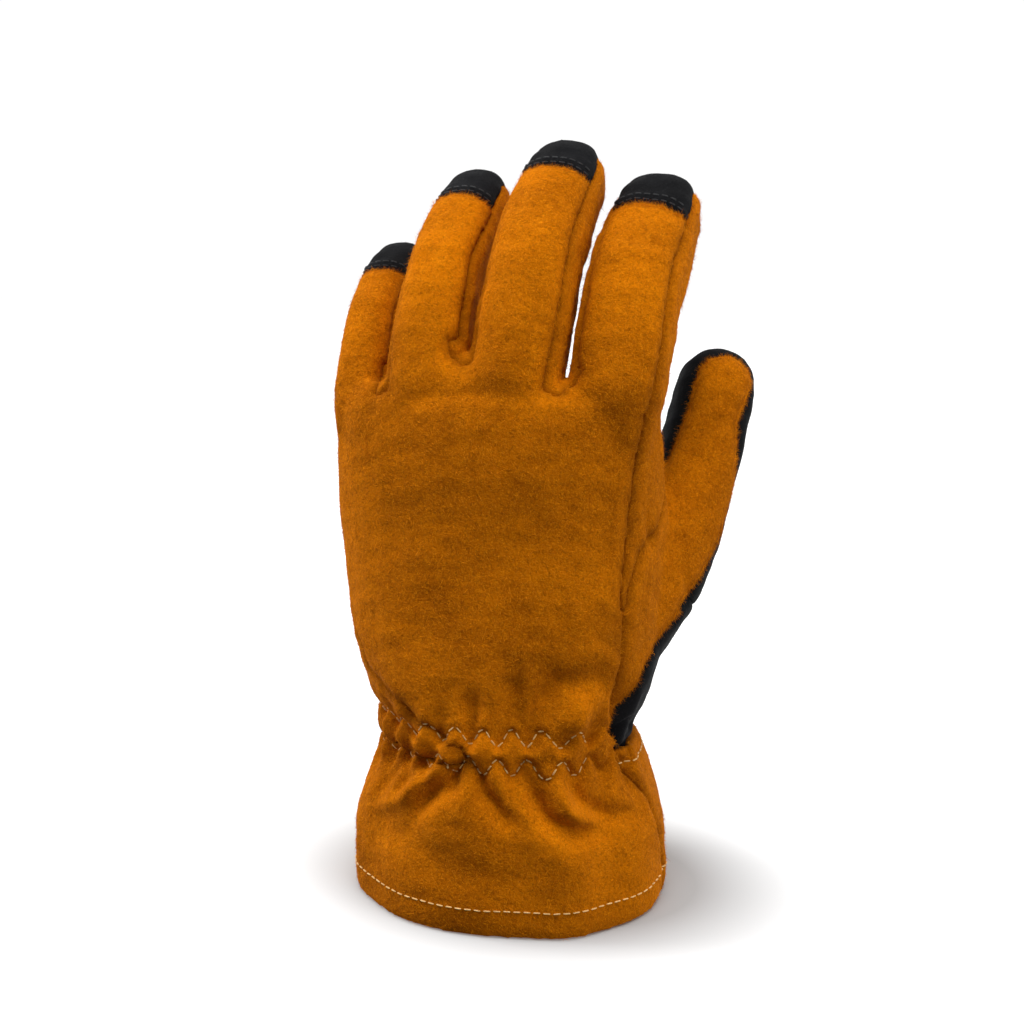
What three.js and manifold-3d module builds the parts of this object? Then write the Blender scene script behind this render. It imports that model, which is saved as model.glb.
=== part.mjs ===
// A firefighter's leather glove for the left hand, standing on its cuff with the fingers half curled.
// It is sewn from gold suede and black leather panels, and every panel here is a leather wall of its own: the back,
// a strip between each two fingers, a strip down either side, the thumb's two panels, the finger fronts, the palm
// patch and the palm side of the cuff.
//
// Frame: Z is up the arm, the back of the hand faces -Y, the palm faces +Y and the thumb is on the +X side.
// The cuff's edge lies on z = 0, with the origin under the middle of the whole glove. The shapes are drawn round the
// middle of the cuff's opening and moved there at the end. Units are millimetres.
//
// Closed lofts give the outside of the hand, the fingers and the thumb. The same lofts, drawn in by the leather's
// thickness, give the hollow. The shell between them is then cut along the seams, panel by panel.

import * as THREE from 'three';
import { mergeVertices } from 'three/addons/utils/BufferGeometryUtils.js';
import Module from 'manifold-3d';

const wasm = await Module();
wasm.setup();

// Leather, seams and edges.
const LEATHER = 2.4;
const SEAM_GAP = 0.3;
const PATCH_LIFT = 1.2;
const HEM_HEIGHT = 10;
const HEM_THICKNESS = 3.8;

// The cuff, the gathered wrist and the hand. The cuff's palm side ends at CUFF_TOP and covers CUFF_LAP of the palm
// patch, which comes out from under it over the length PATCH_RISE.
const CUFF_WIDTH = 107;
const CUFF_DEPTH = 94;
const CUFF_TOP = 55;
const CUFF_LAP = 10;
const PATCH_RISE = 13;
const WRIST_HEIGHT = 58;
const WRIST_WIDTH = 86;
const WRIST_DEPTH = 78;
const PALM_WIDTH = 111;
const PALM_THICKNESS = 46;
const PALM_CUP = 9;
const CROTCH_HEIGHT = 174;

// The fingers and the thumb.
const FINGER_WIDTH = 29.6;
const FINGER_THICKNESS = 29;
const FINGER_LENGTH = 124;
const FINGERTIP_CAP = 30;
const THUMB_LENGTH = 120;
const THUMB_WIDTH = 29.5;
const THUMB_THICKNESS = 29;

// Heights on the hand are levels: -1 is the cuff's edge, 0 the gathered wrist and 1 the clefts between the fingers.
const heightOf = (level) => {
  return level < 0 ? (1 + level) * WRIST_HEIGHT : WRIST_HEIGHT + level * (CROTCH_HEIGHT - WRIST_HEIGHT);
};

// Sections of the cuff and hand. width and depth are shares of the sizes of the row's part, back and side move the
// section's centre as shares of the palm's thickness and width, cup is a share of PALM_CUP, and square is the
// outline's power, where 2 is an ellipse.
const PART_SIZES = {
  cuff: { width: CUFF_WIDTH, depth: CUFF_DEPTH },
  wrist: { width: WRIST_WIDTH, depth: WRIST_DEPTH },
  palm: { width: PALM_WIDTH, depth: PALM_THICKNESS },
};
const HAND = [
  { level: -1.0, part: 'cuff', width: 1.0, depth: 1.0, back: 0, side: 0, cup: 0, square: 2.15 },
  { level: -0.58, part: 'cuff', width: 0.985, depth: 0.98, back: 0, side: 0, cup: 0, square: 2.15 },
  { level: -0.36, part: 'cuff', width: 0.93, depth: 0.94, back: 0, side: 0, cup: 0, square: 2.15 },
  { level: -0.19, part: 'wrist', width: 1.075, depth: 1.06, back: 0, side: 0, cup: 0, square: 2.15 },
  { level: -0.07, part: 'wrist', width: 1.0, depth: 1.0, back: 0, side: 0, cup: 0, square: 2.15 },
  { level: 0.04, part: 'wrist', width: 1.0, depth: 0.98, back: 0, side: 0, cup: 0, square: 2.15 },
  { level: 0.1, part: 'wrist', width: 1.075, depth: 0.97, back: 0, side: -0.006, cup: 0, square: 2.2 },
  { level: 0.19, part: 'palm', width: 0.9, depth: 1.6, back: 0.01, side: -0.012, cup: 0, square: 2.25 },
  { level: 0.31, part: 'palm', width: 0.945, depth: 1.48, back: 0.03, side: -0.02, cup: 0.1, square: 2.35 },
  { level: 0.6, part: 'palm', width: 1.0, depth: 1.15, back: 0.11, side: -0.035, cup: 0.6, square: 2.6 },
  { level: 0.76, part: 'palm', width: 0.995, depth: 1.0, back: 0.19, side: -0.04, cup: 0.85, square: 2.8 },
  { level: 0.9, part: 'palm', width: 0.97, depth: 0.81, back: 0.26, side: -0.038, cup: 1, square: 3.0 },
  { level: 0.96, part: 'palm', width: 0.945, depth: 0.68, back: 0.29, side: -0.037, cup: 1, square: 3.0 },
  { level: 1.0, part: 'palm', width: 0.9, depth: 0.46, back: 0.31, side: -0.034, cup: 1, square: 2.8 },
];

// The gathers: pleats drawn up by two stitched rows round the back of the wrist, between two turns in degrees.
// depth, above and below are lengths: how far a pleat stands out, and how far the pleats run up and down.
const GATHERS = { count: 12, depth: 2.8, above: 15, below: 30, from: 178, to: 352 };
const GATHER_REST = 0.6;
const GATHER_FADE = 8;

// Main dents and swells of the leather. turn and spread are degrees round the hand, 0 at the thumb, 90 at the palm
// and 270 at the back. level and reach are as heights on the hand, and depth is a share of LEATHER, outwards if plus.
const DENTS = [
  { turn: 262, spread: 12, level: 0.13, reach: 0.09, depth: -0.9 },
  { turn: 291, spread: 11, level: 0.15, reach: 0.08, depth: -1.0 },
  { turn: 276, spread: 9, level: 0.12, reach: 0.08, depth: 0.7 },
  { turn: 310, spread: 13, level: 0.12, reach: 0.08, depth: 0.9 },
  { turn: 240, spread: 22, level: 0.16, reach: 0.1, depth: 1.1 },
  { turn: 283, spread: 9, level: -0.36, reach: 0.2, depth: -1.1 },
  { turn: 304, spread: 9, level: -0.4, reach: 0.2, depth: 1.1 },
  { turn: 322, spread: 10, level: -0.36, reach: 0.2, depth: -1.0 },
  { turn: 225, spread: 12, level: -0.4, reach: 0.22, depth: -0.8 },
  { turn: 205, spread: 10, level: -0.4, reach: 0.22, depth: 0.8 },
  { turn: 95, spread: 40, level: 0.22, reach: 0.12, depth: 1.2 },
];

// The fingers. across and back place the root as shares of PALM_WIDTH and PALM_THICKNESS, level is its height,
// length, width and thickness are shares of the finger sizes, fan leans the finger towards the thumb, and knuckle,
// middle and end are the bends at its three joints, all in degrees.
const FINGERS = [
  { name: 'index', level: 0.7, across: 0.318, back: 0.225, length: 0.975, width: 1.05, thickness: 1.0, fan: 4.3,
    knuckle: 21, middle: 32, end: 9 },
  { name: 'middle', level: 0.7, across: 0.022, back: 0.335, length: 1.09, width: 1.0, thickness: 1.0, fan: 4.5,
    knuckle: 21, middle: 31, end: 9 },
  { name: 'ring', level: 0.685, across: -0.238, back: 0.32, length: 1.035, width: 0.86, thickness: 0.96, fan: 3,
    knuckle: 23, middle: 32, end: 9 },
  { name: 'little', level: 0.64, across: -0.43, back: 0.15, length: 0.86, width: 0.72, thickness: 0.85, fan: -2,
    knuckle: 26, middle: 32, end: 9 },
];
const [INDEX, MIDDLE, RING, LITTLE] = FINGERS;

// Where a finger's joints lie and how long each takes to bend, as shares of its length.
const JOINTS = [
  { joint: 'knuckle', at: 0.29, over: 0.12 },
  { joint: 'middle', at: 0.58, over: 0.13 },
  { joint: 'end', at: 0.79, over: 0.12 },
];

// Rings along a finger as shares of its length, up to its dome. Its root is drawn in, to stay inside the hand, and
// its width tapers from root to tip.
const FINGER_PLACES = [0, 0.16, 0.28, 0.4, 0.52, 0.59, 0.67, 0.77, 0.86];
const ROOT_SINK = 0.6;
const ROOT_REACH = 0.36;
const TAPER = { root: 1.08, tip: 0.94 };

// The clefts between the fingers: lift is a saddle's middle over CROTCH_HEIGHT and dip how far it sags there. depth
// is a share of the finger's half thickness. The first finger named is on the thumb side.
const CLEFTS = [
  { name: 'index_middle', thumbward: INDEX, outer: MIDDLE, lift: 1, dip: 4, depth: 0.86 },
  { name: 'middle_ring', thumbward: MIDDLE, outer: RING, lift: 9, dip: 3, depth: 0.86 },
  { name: 'ring_little', thumbward: RING, outer: LITTLE, lift: 0, dip: 3, depth: 0.84 },
];
const SADDLE_RISE = 8;
const SADDLE_DROP = 30;

// The thumb leaves the hand low on its thumb side. towards is its direction's angle from +X to the palm and rise
// its angle above the floor, at the root and at the tip. outward is the way its nail side faces, from +X.
const THUMB = {
  level: 0.2,
  across: 0.208,
  back: -0.04,
  root: { towards: 36, rise: 46 },
  tip: { towards: 72, rise: 70 },
  outward: -64,
};
// Sections of the thumb, from its root to where its dome begins, as shares of its length, width and thickness.
// inner and outer are the gold panel's reach towards the index finger and away from it, as shares of the half width.
const THUMB_SECTIONS = [
  { at: 0.0, width: 1.25, thickness: 1.5, inner: 0.95, outer: 0.1 },
  { at: 0.14, width: 1.4, thickness: 1.5, inner: 0.95, outer: 0.34 },
  { at: 0.3, width: 1.35, thickness: 1.4, inner: 1.05, outer: 0.58 },
  { at: 0.46, width: 1.18, thickness: 1.2, inner: 1.1, outer: 0.75 },
  { at: 0.62, width: 0.99, thickness: 1.04, inner: 0.84, outer: 0.8 },
  { at: 0.78, width: 0.97, thickness: 1.0, inner: 0.76, outer: 0.4 },
  { at: 0.88, width: 0.97, thickness: 0.98, inner: 0.74, outer: 0.62 },
];

// Seams on the hand, in degrees round it at each level: the back's seam on the thumb side, the thumb panel's far
// edge, the palm's edge under the index finger, the back's seam on the little finger's side and the palm's there.
const SEAMS = [
  { level: -1.6, thumb: 2, gusset: 2, index: 2, little: 178, outer: 172 },
  { level: -1.0, thumb: 2, gusset: 2, index: 2, little: 178, outer: 172 },
  { level: -0.5, thumb: -6, gusset: -6, index: -6, little: 230, outer: 172 },
  { level: -0.09, thumb: -24, gusset: -24, index: -24, little: 268, outer: 172 },
  { level: 0.08, thumb: -28, gusset: -28, index: -28, little: 243, outer: 170 },
  { level: 0.18, thumb: -31, gusset: -16, index: -31, little: 214, outer: 168 },
  { level: 0.33, thumb: -34, gusset: 4, index: -34, little: 198, outer: 167 },
  { level: 0.46, thumb: -36, gusset: 30, index: -32, little: 195, outer: 168 },
  { level: 0.67, thumb: -34, gusset: 16, index: 4, little: 195, outer: 171 },
  { level: 0.85, thumb: -30, gusset: 12, index: 10, little: 196, outer: 174 },
  { level: 1.0, thumb: -26, gusset: 12, index: 12, little: 198, outer: 177 },
];
// Where the side strips and the thumb's gusset end, and where the palm patch meets the finger fronts.
const SIDE_STRIP_FOOT = 0.4;
const LITTLE_STRIP_FOOT = -0.07;
const GUSSET_FOOT = 0.07;
const GUSSET_TOP = 0.78;
const SIDE_STRIP_TOP = 0.94;
const PALM_BREAK = 0.85;
const CUFF_SEAM = 178;
const BACK_OVERLAP = 1.5;
const GUSSET_START = 1;

// A strip between fingers covers half of a finger's half thickness either way, from its side wall inwards. It starts
// at the level STRIP_FOOT on the hand and ends STRIP_END short of the tip. The thumb's panel is shaped in the same
// way, on the thumb's nail side.
const STRIP_HALF = 0.5;
const STRIP_INSET = 0.4;
const STRIP_END = 6.5;
const STRIP_FOOT = 0.92;
const THUMB_PANEL_DEPTH = 0.12;
const THUMB_PANEL_END = 4;
const THUMB_PANEL_ROOT = 0.06;
const THUMB_FRONT_ROOT = 0.3;
const WEB = { below: 12, above: 5, half: 0.8 };

// Fineness of the lofts. The hollow is coarser than the outside, but follows every pleat.
const FINE = { pleat: 2, palm: 12, finger: 12 };
const COARSE = { pleat: 2, palm: 8, finger: 8 };
const DOME_STEPS = 3;
const ROUND_STEPS = 3;
const SADDLE_STEPS = 4;
const WEDGE_STEPS = 6;

const DEG = Math.PI / 180;
const FAR = 30;
const mix = (a, b, t) => a + (b - a) * t;
const smooth = (t) => {
  const x = Math.min(1, Math.max(0, t));
  return x * x * (3 - 2 * x);
};
const range = (from, to, steps) => Array.from({ length: steps + 1 }, (_, i) => mix(from, to, i / steps));
const join = (solids) => solids.reduce((a, b) => a.add(b));

// The number columns of a table at a value of its key column, mixed between the two rows on either side.
function between(rows, key, value) {
  let i = 0;
  while (i < rows.length - 2 && rows[i + 1][key] < value) i++;
  const [a, b] = [rows[i], rows[i + 1]];
  const t = (value - a[key]) / (b[key] - a[key]);
  const numbers = Object.keys(a).filter((column) => typeof a[column] === 'number');
  return Object.fromEntries(numbers.map((column) => [column, mix(a[column], b[column], t)]));
}

// A closed geometry as a solid for cutting and joining, its faces turned to point out.
function solidOf(geometry) {
  const { index, attributes } = mergeVertices(geometry, 1e-4);
  const build = (triVerts) => {
    return new wasm.Manifold(new wasm.Mesh({ numProp: 3, vertProperties: attributes.position.array, triVerts }));
  };
  const triangles = new Uint32Array(index.array);
  const made = build(triangles);
  return made.volume() > 0 ? made : build(triangles.slice().reverse());
}

// A closed solid from rings of points, all with as many points, with a fan over each end.
function loft(rings) {
  const count = rings[0].length;
  const positions = [];
  const put = (...points) => points.forEach((p) => positions.push(p.x, p.y, p.z));
  for (let r = 0; r + 1 < rings.length; r++) {
    for (let i = 0; i < count; i++) {
      const j = (i + 1) % count;
      put(rings[r][i], rings[r][j], rings[r + 1][j]);
      put(rings[r][i], rings[r + 1][j], rings[r + 1][i]);
    }
  }
  const middle = (ring) => ring.reduce((sum, p) => sum.add(p), new THREE.Vector3()).divideScalar(count);
  const [first, last] = [rings[0], rings[rings.length - 1]];
  const [low, high] = [middle(first), middle(last)];
  for (let i = 0; i < count; i++) {
    const j = (i + 1) % count;
    put(low, first[j], first[i]);
    put(high, last[i], last[j]);
  }
  const geometry = new THREE.BufferGeometry();
  geometry.setAttribute('position', new THREE.Float32BufferAttribute(positions, 3));
  return solidOf(geometry);
}

// The hand's section at a height, in millimetres.
const SECTIONS = HAND.map((row) => ({
  z: heightOf(row.level),
  x: row.side * PALM_WIDTH,
  y: -row.back * PALM_THICKNESS,
  a: (row.width * PART_SIZES[row.part].width) / 2,
  b: (row.depth * PART_SIZES[row.part].depth) / 2,
  cup: row.cup * PALM_CUP,
  square: row.square,
}));
const sectionAt = (z) => between(SECTIONS, 'z', z);

// How far pleats and dents move the leather out at a height and turn.
function reliefAt(z, turn) {
  const off = z - WRIST_HEIGHT;
  const strength = off > 0 ? 1 - smooth(off / GATHERS.above) : 1 - smooth(-off / GATHERS.below);
  const round = (turn + 720) % 360;
  const share = (round - GATHERS.from) / (GATHERS.to - GATHERS.from);
  let relief = 0;
  if (share > 0 && share < 1) {
    const wave = Math.abs(Math.sin(share * GATHERS.count * Math.PI)) - GATHER_REST;
    relief = wave * GATHERS.depth * strength * smooth(Math.min(share, 1 - share) * GATHER_FADE);
  }
  for (const dent of DENTS) {
    const sideways = (round - dent.turn) / dent.spread;
    const upwards = (z - heightOf(dent.level)) / (dent.reach * CROTCH_HEIGHT);
    relief += dent.depth * LEATHER * Math.exp(-sideways * sideways - upwards * upwards);
  }
  return relief;
}

// A point on the hand's outline, moved out by grow. turn 0 faces the thumb, 90 the palm and 270 the back.
function handPoint(z, turn, grow) {
  const s = sectionAt(z);
  const [c, n] = [Math.cos(turn * DEG), Math.sin(turn * DEG)];
  const out = grow + reliefAt(z, turn);
  const x = Math.sign(c) * Math.abs(c) ** (2 / s.square);
  const y = Math.sign(n) * Math.abs(n) ** (2 / s.square);
  return new THREE.Vector3(s.x + x * (s.a + out), s.y + y * (s.b + out) + s.cup * x * x, z);
}

// The hand as a closed solid with its walls moved out by grow, plus liftAt(z), and a foot below the floor.
function hand(grow, fine, foot = 0, liftAt = () => 0) {
  const turns = [
    ...range(GATHERS.to - 360, GATHERS.from, fine.palm),
    ...range(GATHERS.from, GATHERS.to, GATHERS.count * fine.pleat).slice(1, -1),
  ];
  const hem = grow < 0 ? HEM_THICKNESS - LEATHER : 0;
  const heights = [...SECTIONS.map((s) => s.z), HEM_HEIGHT, CUFF_TOP].sort((a, b) => a - b);
  const ring = (z, level) => turns.map((turn) => {
    const top = smooth((z - heightOf(0.8)) / (CROTCH_HEIGHT - heightOf(0.8)));
    const p = handPoint(z, turn, grow - (z < HEM_HEIGHT ? hem : 0) + liftAt(z));
    p.z = level + grow * top;
    return p;
  });
  const rings = heights.map((z) => ring(z, z));
  if (foot < 0) rings.unshift(ring(0, foot));
  return loft(rings);
}

// Frames down the middle of a finger at places along it: at, along, across to the thumb side and front to the palm.
function fingerFrames(f, places) {
  const length = f.length * FINGER_LENGTH;
  const up = new THREE.Vector3(Math.sin(f.fan * DEG), 0, Math.cos(f.fan * DEG));
  const across = new THREE.Vector3(up.z, 0, -up.x);
  const palmward = new THREE.Vector3(0, 1, 0);
  const bendAt = (share) => JOINTS.reduce((sum, j) => {
    return sum + f[j.joint] * DEG * smooth((share - j.at + j.over / 2) / j.over);
  }, 0);
  const at = new THREE.Vector3(f.across * PALM_WIDTH, -f.back * PALM_THICKNESS, heightOf(f.level));
  const steps = 400;
  let done = 0;
  return places.map((place) => {
    while (done / steps < place - 1e-9) {
      const stride = Math.min(1, place * steps - done);
      const angle = bendAt((done + stride / 2) / steps);
      const travel = (stride / steps) * length;
      at.addScaledVector(up, travel * Math.cos(angle)).addScaledVector(palmward, travel * Math.sin(angle));
      done += stride;
    }
    const angle = bendAt(place);
    const along = up.clone().multiplyScalar(Math.cos(angle)).addScaledVector(palmward, Math.sin(angle));
    const front = palmward.clone().multiplyScalar(Math.cos(angle)).addScaledVector(up, -Math.sin(angle));
    return { place, at: at.clone(), along, across, front };
  });
}

// Frames down the middle of the thumb. Its direction swings from the root's to the tip's.
function thumbFrames(places) {
  const wayAt = (share) => {
    const towards = mix(THUMB.root.towards, THUMB.tip.towards, smooth(share)) * DEG;
    const rise = mix(THUMB.root.rise, THUMB.tip.rise, smooth(share)) * DEG;
    return new THREE.Vector3().setFromSphericalCoords(1, Math.PI / 2 - rise, 0).set(
      Math.cos(rise) * Math.cos(towards), Math.cos(rise) * Math.sin(towards), Math.sin(rise));
  };
  const nail = new THREE.Vector3(Math.cos(THUMB.outward * DEG), Math.sin(THUMB.outward * DEG), 0);
  const at = new THREE.Vector3(THUMB.across * PALM_WIDTH, -THUMB.back * PALM_THICKNESS, heightOf(THUMB.level));
  const steps = 200;
  let done = 0;
  return places.map((place) => {
    while (done / steps < place - 1e-9) {
      const stride = Math.min(1, place * steps - done);
      at.addScaledVector(wayAt((done + stride / 2) / steps), (stride / steps) * THUMB_LENGTH);
      done += stride;
    }
    const along = wayAt(place);
    const front = nail.clone().addScaledVector(along, -nail.dot(along)).normalize().negate();
    const across = front.clone().cross(along).normalize();
    return { place, at: at.clone(), along, across, front };
  });
}

const onFrame = (frame, u, v, w = 0) => frame.at.clone()
  .addScaledVector(frame.across, u)
  .addScaledVector(frame.front, v)
  .addScaledVector(frame.along, w);

// A rounded ring round a frame, with half sizes a across and b from back to front, moved forward along the frame.
function ringRound(frame, a, b, forward, sides) {
  const power = 2 / 2.35;
  return range(0, 2 * Math.PI, sides).slice(0, -1).map((turn) => {
    const [c, n] = [Math.cos(turn + Math.PI / sides), Math.sin(turn + Math.PI / sides)];
    const [u, v] = [Math.sign(c) * Math.abs(c) ** power, Math.sign(n) * Math.abs(n) ** power];
    return onFrame(frame, u * a, v * b, forward);
  });
}

// The rings of a domed tip that rises height above a frame.
function domeRings(frame, a, b, height, sides) {
  return range(0, DOME_STEPS, DOME_STEPS).slice(1).map((step) => {
    const turn = (step / (DOME_STEPS + 0.4)) * (Math.PI / 2);
    return ringRound(frame, a * Math.cos(turn), b * Math.cos(turn), height * Math.sin(turn), sides);
  });
}

const halfWidth = (f) => (f.width * FINGER_WIDTH) / 2;
const halfThickness = (f) => (f.thickness * FINGER_THICKNESS) / 2;
const lengthOf = (f) => f.length * FINGER_LENGTH;

function finger(f, grow, fine) {
  const [a, b] = [halfWidth(f) + grow, halfThickness(f) + grow];
  const frames = fingerFrames(f, FINGER_PLACES);
  const rings = frames.map((frame) => {
    const sunk = mix(ROOT_SINK, 1, smooth(frame.place / ROOT_REACH));
    return ringRound(frame, a * sunk * mix(TAPER.root, TAPER.tip, frame.place), b * sunk, 0, fine.finger);
  });
  const last = frames[frames.length - 1];
  const height = lengthOf(f) * (1 - last.place) + grow;
  return loft([...rings, ...domeRings(last, a * TAPER.tip, b, height, fine.finger)]);
}

const thumbSize = (row, grow) => [
  (row.width * THUMB_WIDTH) / 2 + grow,
  (row.thickness * THUMB_THICKNESS) / 2 + grow,
];

function thumb(grow, fine) {
  const frames = thumbFrames(THUMB_SECTIONS.map((row) => row.at));
  const sizes = THUMB_SECTIONS.map((row) => thumbSize(row, grow));
  const rings = frames.map((frame, i) => ringRound(frame, ...sizes[i], 0, fine.finger));
  const last = frames[frames.length - 1];
  const dome = domeRings(last, ...sizes[sizes.length - 1], THUMB_LENGTH * (1 - last.place) + grow, fine.finger);
  return loft([...rings, ...dome]);
}

// The part of the hand's wall from low to high between two turns that change with height. room widens it all round.
const SEAM_ROWS = SEAMS.map((row) => ({ ...row, z: heightOf(row.level) }));
function wedge(low, high, from, to, room = 0, reach = FAR / 2) {
  const inside = SEAM_ROWS.map((row) => row.z).filter((z) => z > low && z < high);
  const rings = [low - room, ...inside, high + room].map((z) => {
    const at = between(SEAM_ROWS, 'z', Math.min(Math.max(z, low), high));
    const height = Math.min(Math.max(z, 0), CROTCH_HEIGHT);
    const s = sectionAt(height);
    const slack = (2 * room) / (s.a + s.b) / DEG;
    const [start, end] = [from(at) - slack, to(at) + slack];
    const [inner, outer] = [-Math.min(s.a, s.b) * 0.7 - room, reach + room];
    const point = (share, grow) => handPoint(height, mix(start, end, share), grow).setZ(z);
    return [
      ...range(0, 1, WEDGE_STEPS).map((share) => point(share, outer)),
      ...range(1, 0, WEDGE_STEPS).map((share) => point(share, inner)),
    ];
  });
  return loft(rings);
}

// A bar swept along frames. spanAt gives its reach across, from back to front, and forward along each frame.
function bar(frames, spanAt) {
  return loft(frames.map((frame) => {
    const { left, right, back, front, forward = 0 } = spanAt(frame);
    const corners = [[left, back], [right, back], [right, front], [left, front]];
    return corners.map(([u, v]) => onFrame(frame, u, v, forward));
  }));
}

// Places for a bar with a rounded end, and the share of its half width at each of them.
function roundedPlaces(from, end, round, rings) {
  const straight = rings.filter((place) => place > from && place < end - round);
  return [from, ...straight, ...range(end - round, end, ROUND_STEPS)];
}
const roundedShare = (place, end, round) => {
  return Math.sqrt(Math.max(0.01, 1 - Math.max(0, (place - end + round) / round) ** 2));
};

// The side wall of a finger, from the cleft to a rounded end short of the tip. side is 1 for the thumb side.
function fingerSide(f, side, room) {
  const end = 1 - STRIP_END / lengthOf(f);
  const high = STRIP_HALF * halfThickness(f);
  const round = high / lengthOf(f);
  const start = (heightOf(STRIP_FOOT) - heightOf(f.level)) / lengthOf(f);
  const frames = fingerFrames(f, roundedPlaces(start, end, round, FINGER_PLACES));
  const [inner, outer] = [STRIP_INSET * halfWidth(f) - room, halfWidth(f) + LEATHER];
  return bar(frames, (frame) => {
    const share = roundedShare(frame.place, end, round);
    const half = high * share + room;
    const [left, right] = side > 0 ? [inner, outer] : [-outer, -inner];
    return { left, right, back: -half, front: half, forward: room * (1 - share) };
  });
}

// The axes of a cleft's two fingers near its height, the outer one's first.
const cleftAxes = (c) => [c.outer, c.thumbward].map((f) => fingerFrames(f, [JOINTS[0].at])[0].at);

// The saddle of leather that closes a cleft, drawn from one finger's middle to the other's.
function saddle(c, grow) {
  const depth = c.depth * Math.min(halfThickness(c.outer), halfThickness(c.thumbward)) + grow;
  const [start, end] = cleftAxes(c);
  const stations = range(-1, 1, SADDLE_STEPS).map((u) => {
    const middle = start.clone().lerp(end, (u + 1) / 2);
    const top = CROTCH_HEIGHT + c.lift + c.dip * u * u + grow;
    const arch = range(0, Math.PI, SADDLE_STEPS + 2).map((turn) => new THREE.Vector3(
      middle.x, middle.y + depth * Math.cos(turn), top - SADDLE_RISE * (1 - Math.sin(turn))));
    const foot = CROTCH_HEIGHT - SADDLE_DROP;
    return [...arch, ...[-depth, depth].map((y) => new THREE.Vector3(middle.x, middle.y + y, foot))];
  });
  return loft(stations);
}

// The strip's part that runs through the foot of a cleft.
function web(c, room) {
  const half = WEB.half * STRIP_HALF * Math.min(halfThickness(c.outer), halfThickness(c.thumbward)) + room;
  const [start, end] = cleftAxes(c);
  const [left, right] = [start.x + 0.7 * halfWidth(c.outer) - room, end.x - 0.7 * halfWidth(c.thumbward) + room];
  const box = new THREE.BoxGeometry(right - left, 2 * half, WEB.below + WEB.above + 2 * room);
  box.translate((left + right) / 2, (start.y + end.y) / 2, CROTCH_HEIGHT + c.lift + (WEB.above - WEB.below) / 2);
  for (const attribute of ['normal', 'uv']) box.deleteAttribute(attribute);
  return solidOf(box);
}

const cleftStrip = (c) => (room) => join([
  fingerSide(c.thumbward, -1, room),
  fingerSide(c.outer, 1, room),
  web(c, room),
]);

// The thumb's nail-side panel, with a rounded end.
function thumbPanel(room) {
  const end = 1 - THUMB_PANEL_END / THUMB_LENGTH;
  const round = THUMB_WIDTH / 3 / THUMB_LENGTH;
  const places = roundedPlaces(THUMB_PANEL_ROOT, end, round, THUMB_SECTIONS.map((row) => row.at));
  return bar(thumbFrames(places), (frame) => {
    const at = between(THUMB_SECTIONS, 'at', frame.place);
    const share = roundedShare(frame.place, end, round);
    const half = ((at.width * THUMB_WIDTH) / 2) * share;
    return {
      left: -half * at.inner - room,
      right: half * at.outer + room,
      back: -FAR,
      front: -THUMB_PANEL_DEPTH * THUMB_THICKNESS + room,
      forward: room * (1 - share),
    };
  });
}

// The back of a finger as far as its tip's cap.
function fingerBack(f, room) {
  const end = 1 - FINGERTIP_CAP / lengthOf(f);
  const places = [FINGER_PLACES[1], ...FINGER_PLACES.filter((p) => p > FINGER_PLACES[1] && p < end), end];
  const [wide, thick] = [halfWidth(f) + LEATHER, halfThickness(f) + FAR / 4];
  return bar(fingerFrames(f, places), (frame) => {
    const forward = frame.place === end ? room : 0;
    return { left: -wide, right: wide, back: -thick, front: room - LEATHER, forward };
  });
}

const ABOVE = CROTCH_HEIGHT + LEATHER;
const SIDE_TOP = heightOf(SIDE_STRIP_TOP);
const PATCH_FOOT = CUFF_TOP - CUFF_LAP;

// The panels in the order in which they are cut from the shell, each as its region for a given room round it.
const GOLD_PANELS = {
  ...Object.fromEntries(CLEFTS.map((c) => [`strip_${c.name}`, cleftStrip(c)])),
  strip_thumb_side: (room) => join([
    fingerSide(INDEX, 1, room),
    wedge(heightOf(SIDE_STRIP_FOOT), SIDE_TOP, (at) => at.thumb, (at) => Math.max(at.thumb + 1, at.index), room),
  ]),
  strip_little_side: (room) => join([
    fingerSide(LITTLE, -1, room),
    wedge(heightOf(LITTLE_STRIP_FOOT), SIDE_TOP, (at) => at.outer, (at) => at.little, room),
  ]),
  thumb_back: (room) => join([
    thumbPanel(room),
    wedge(heightOf(GUSSET_FOOT), heightOf(GUSSET_TOP), (at) => at.thumb + GUSSET_START,
      (at) => Math.max(at.thumb + 2 * GUSSET_START, at.gusset), room, FAR / 4),
  ]),
  back_panel: (room) => join([
    wedge(-FAR, ABOVE, () => CUFF_SEAM, (at) => at.thumb + 360 + BACK_OVERLAP, room),
    ...FINGERS.map((f) => fingerBack(f, room)),
  ]),
};

// The thumb from a place on it to past its tip.
const thumbEnd = (from) => bar(thumbFrames([from, 0.5, 0.7, 1.04]), () => {
  return { left: -THUMB_WIDTH, right: THUMB_WIDTH, back: -THUMB_THICKNESS, front: THUMB_THICKNESS };
});

const FINISHES = {
  gold: new THREE.MeshStandardMaterial({ color: 0xb8690b, roughness: 0.95, metalness: 0 }),
  black: new THREE.MeshStandardMaterial({ color: 0x121213, roughness: 0.85, metalness: 0 }),
};
const glove = new THREE.Group();
glove.name = 'firefighter_glove';

function add(name, solid, finish) {
  const { vertProperties, triVerts } = solid.getMesh();
  const geometry = new THREE.BufferGeometry();
  geometry.setAttribute('position', new THREE.BufferAttribute(vertProperties.slice(), 3));
  geometry.setIndex(new THREE.BufferAttribute(triVerts.slice(), 1));
  geometry.computeVertexNormals();
  const mesh = new THREE.Mesh(geometry, FINISHES[finish]);
  mesh.name = name;
  glove.add(mesh);
}

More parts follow.
